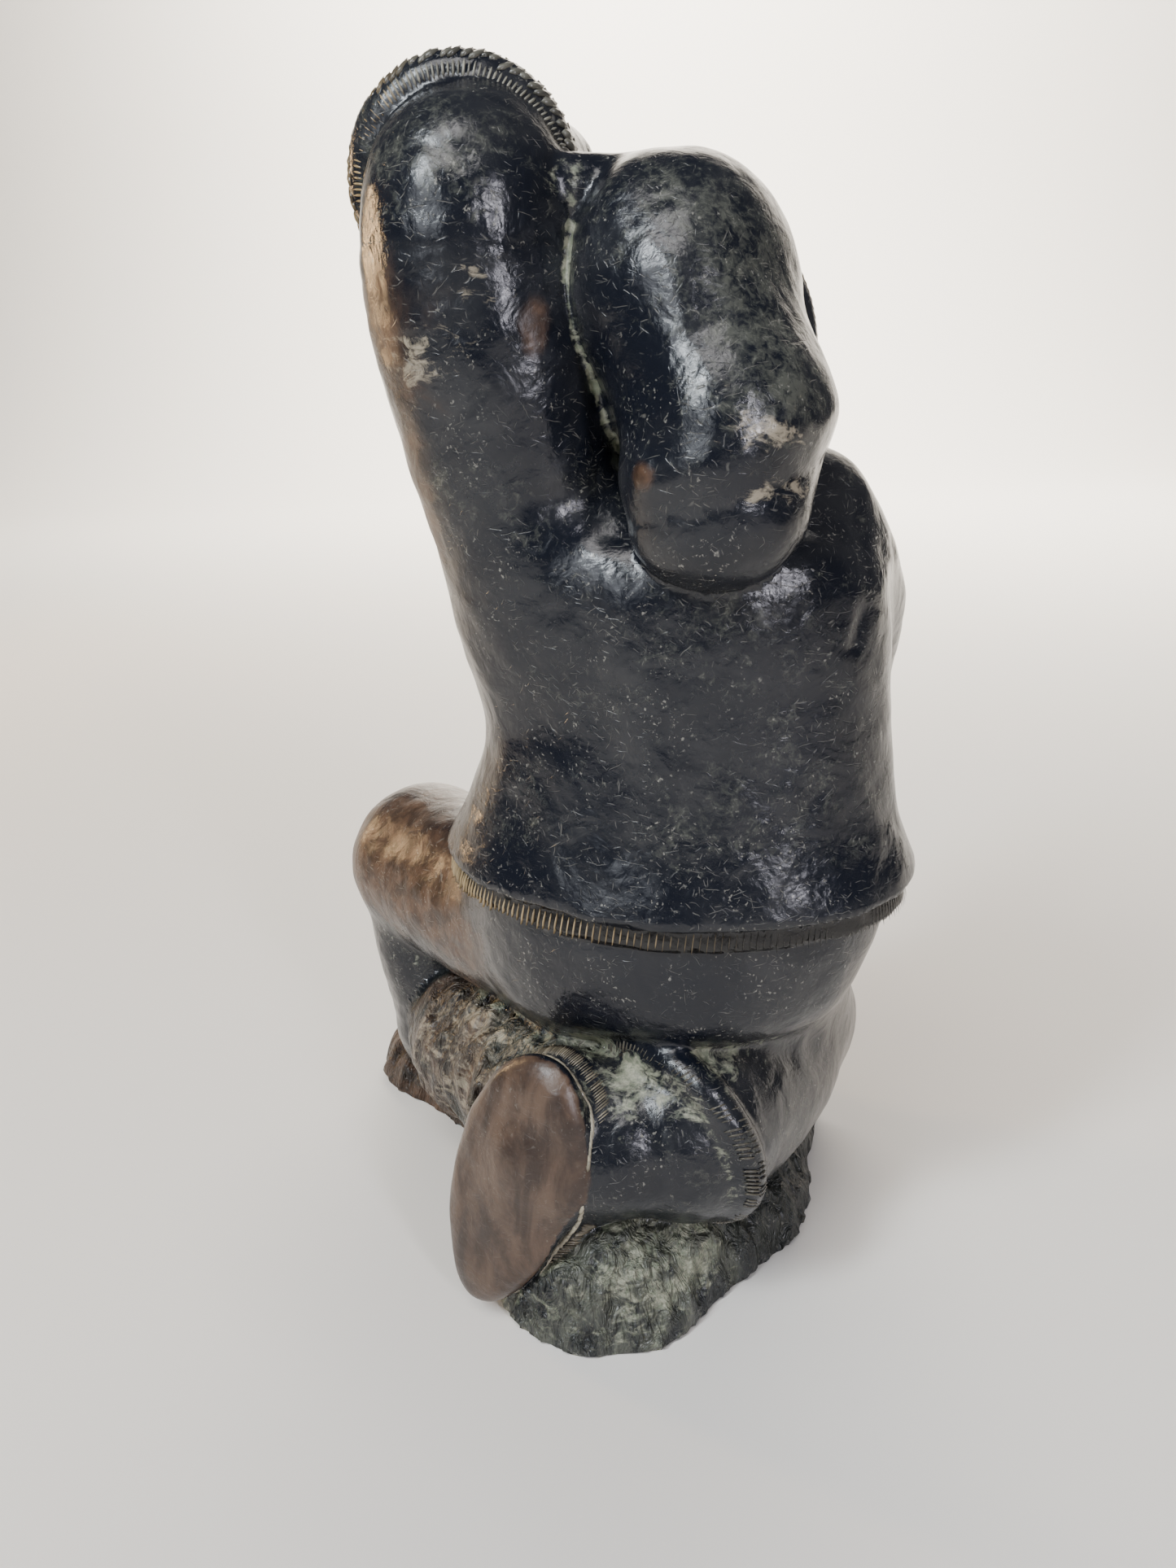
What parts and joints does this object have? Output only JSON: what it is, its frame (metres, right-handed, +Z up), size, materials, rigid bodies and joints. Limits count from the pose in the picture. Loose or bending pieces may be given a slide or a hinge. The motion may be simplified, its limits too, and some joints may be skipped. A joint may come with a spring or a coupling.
{
  "type": "soapstone hunter sculpture",
  "caption": "Carved dark soapstone figure of a kneeling hunter in a hooded parka, one arm raised over the head, on a low rock base.",
  "frame": {"origin": "on the flat underside of the rock, below the middle of the carving's box", "axes": "+X to the figure's left, +Y to its back, +Z up"},
  "size_m": [0.1903, 0.1599, 0.3115],
  "materials": {
    "soapstone": "polished"
  },
  "bodies": {
    "root": {"hunter_sculpture": "soapstone"}
  },
  "joints": []
}
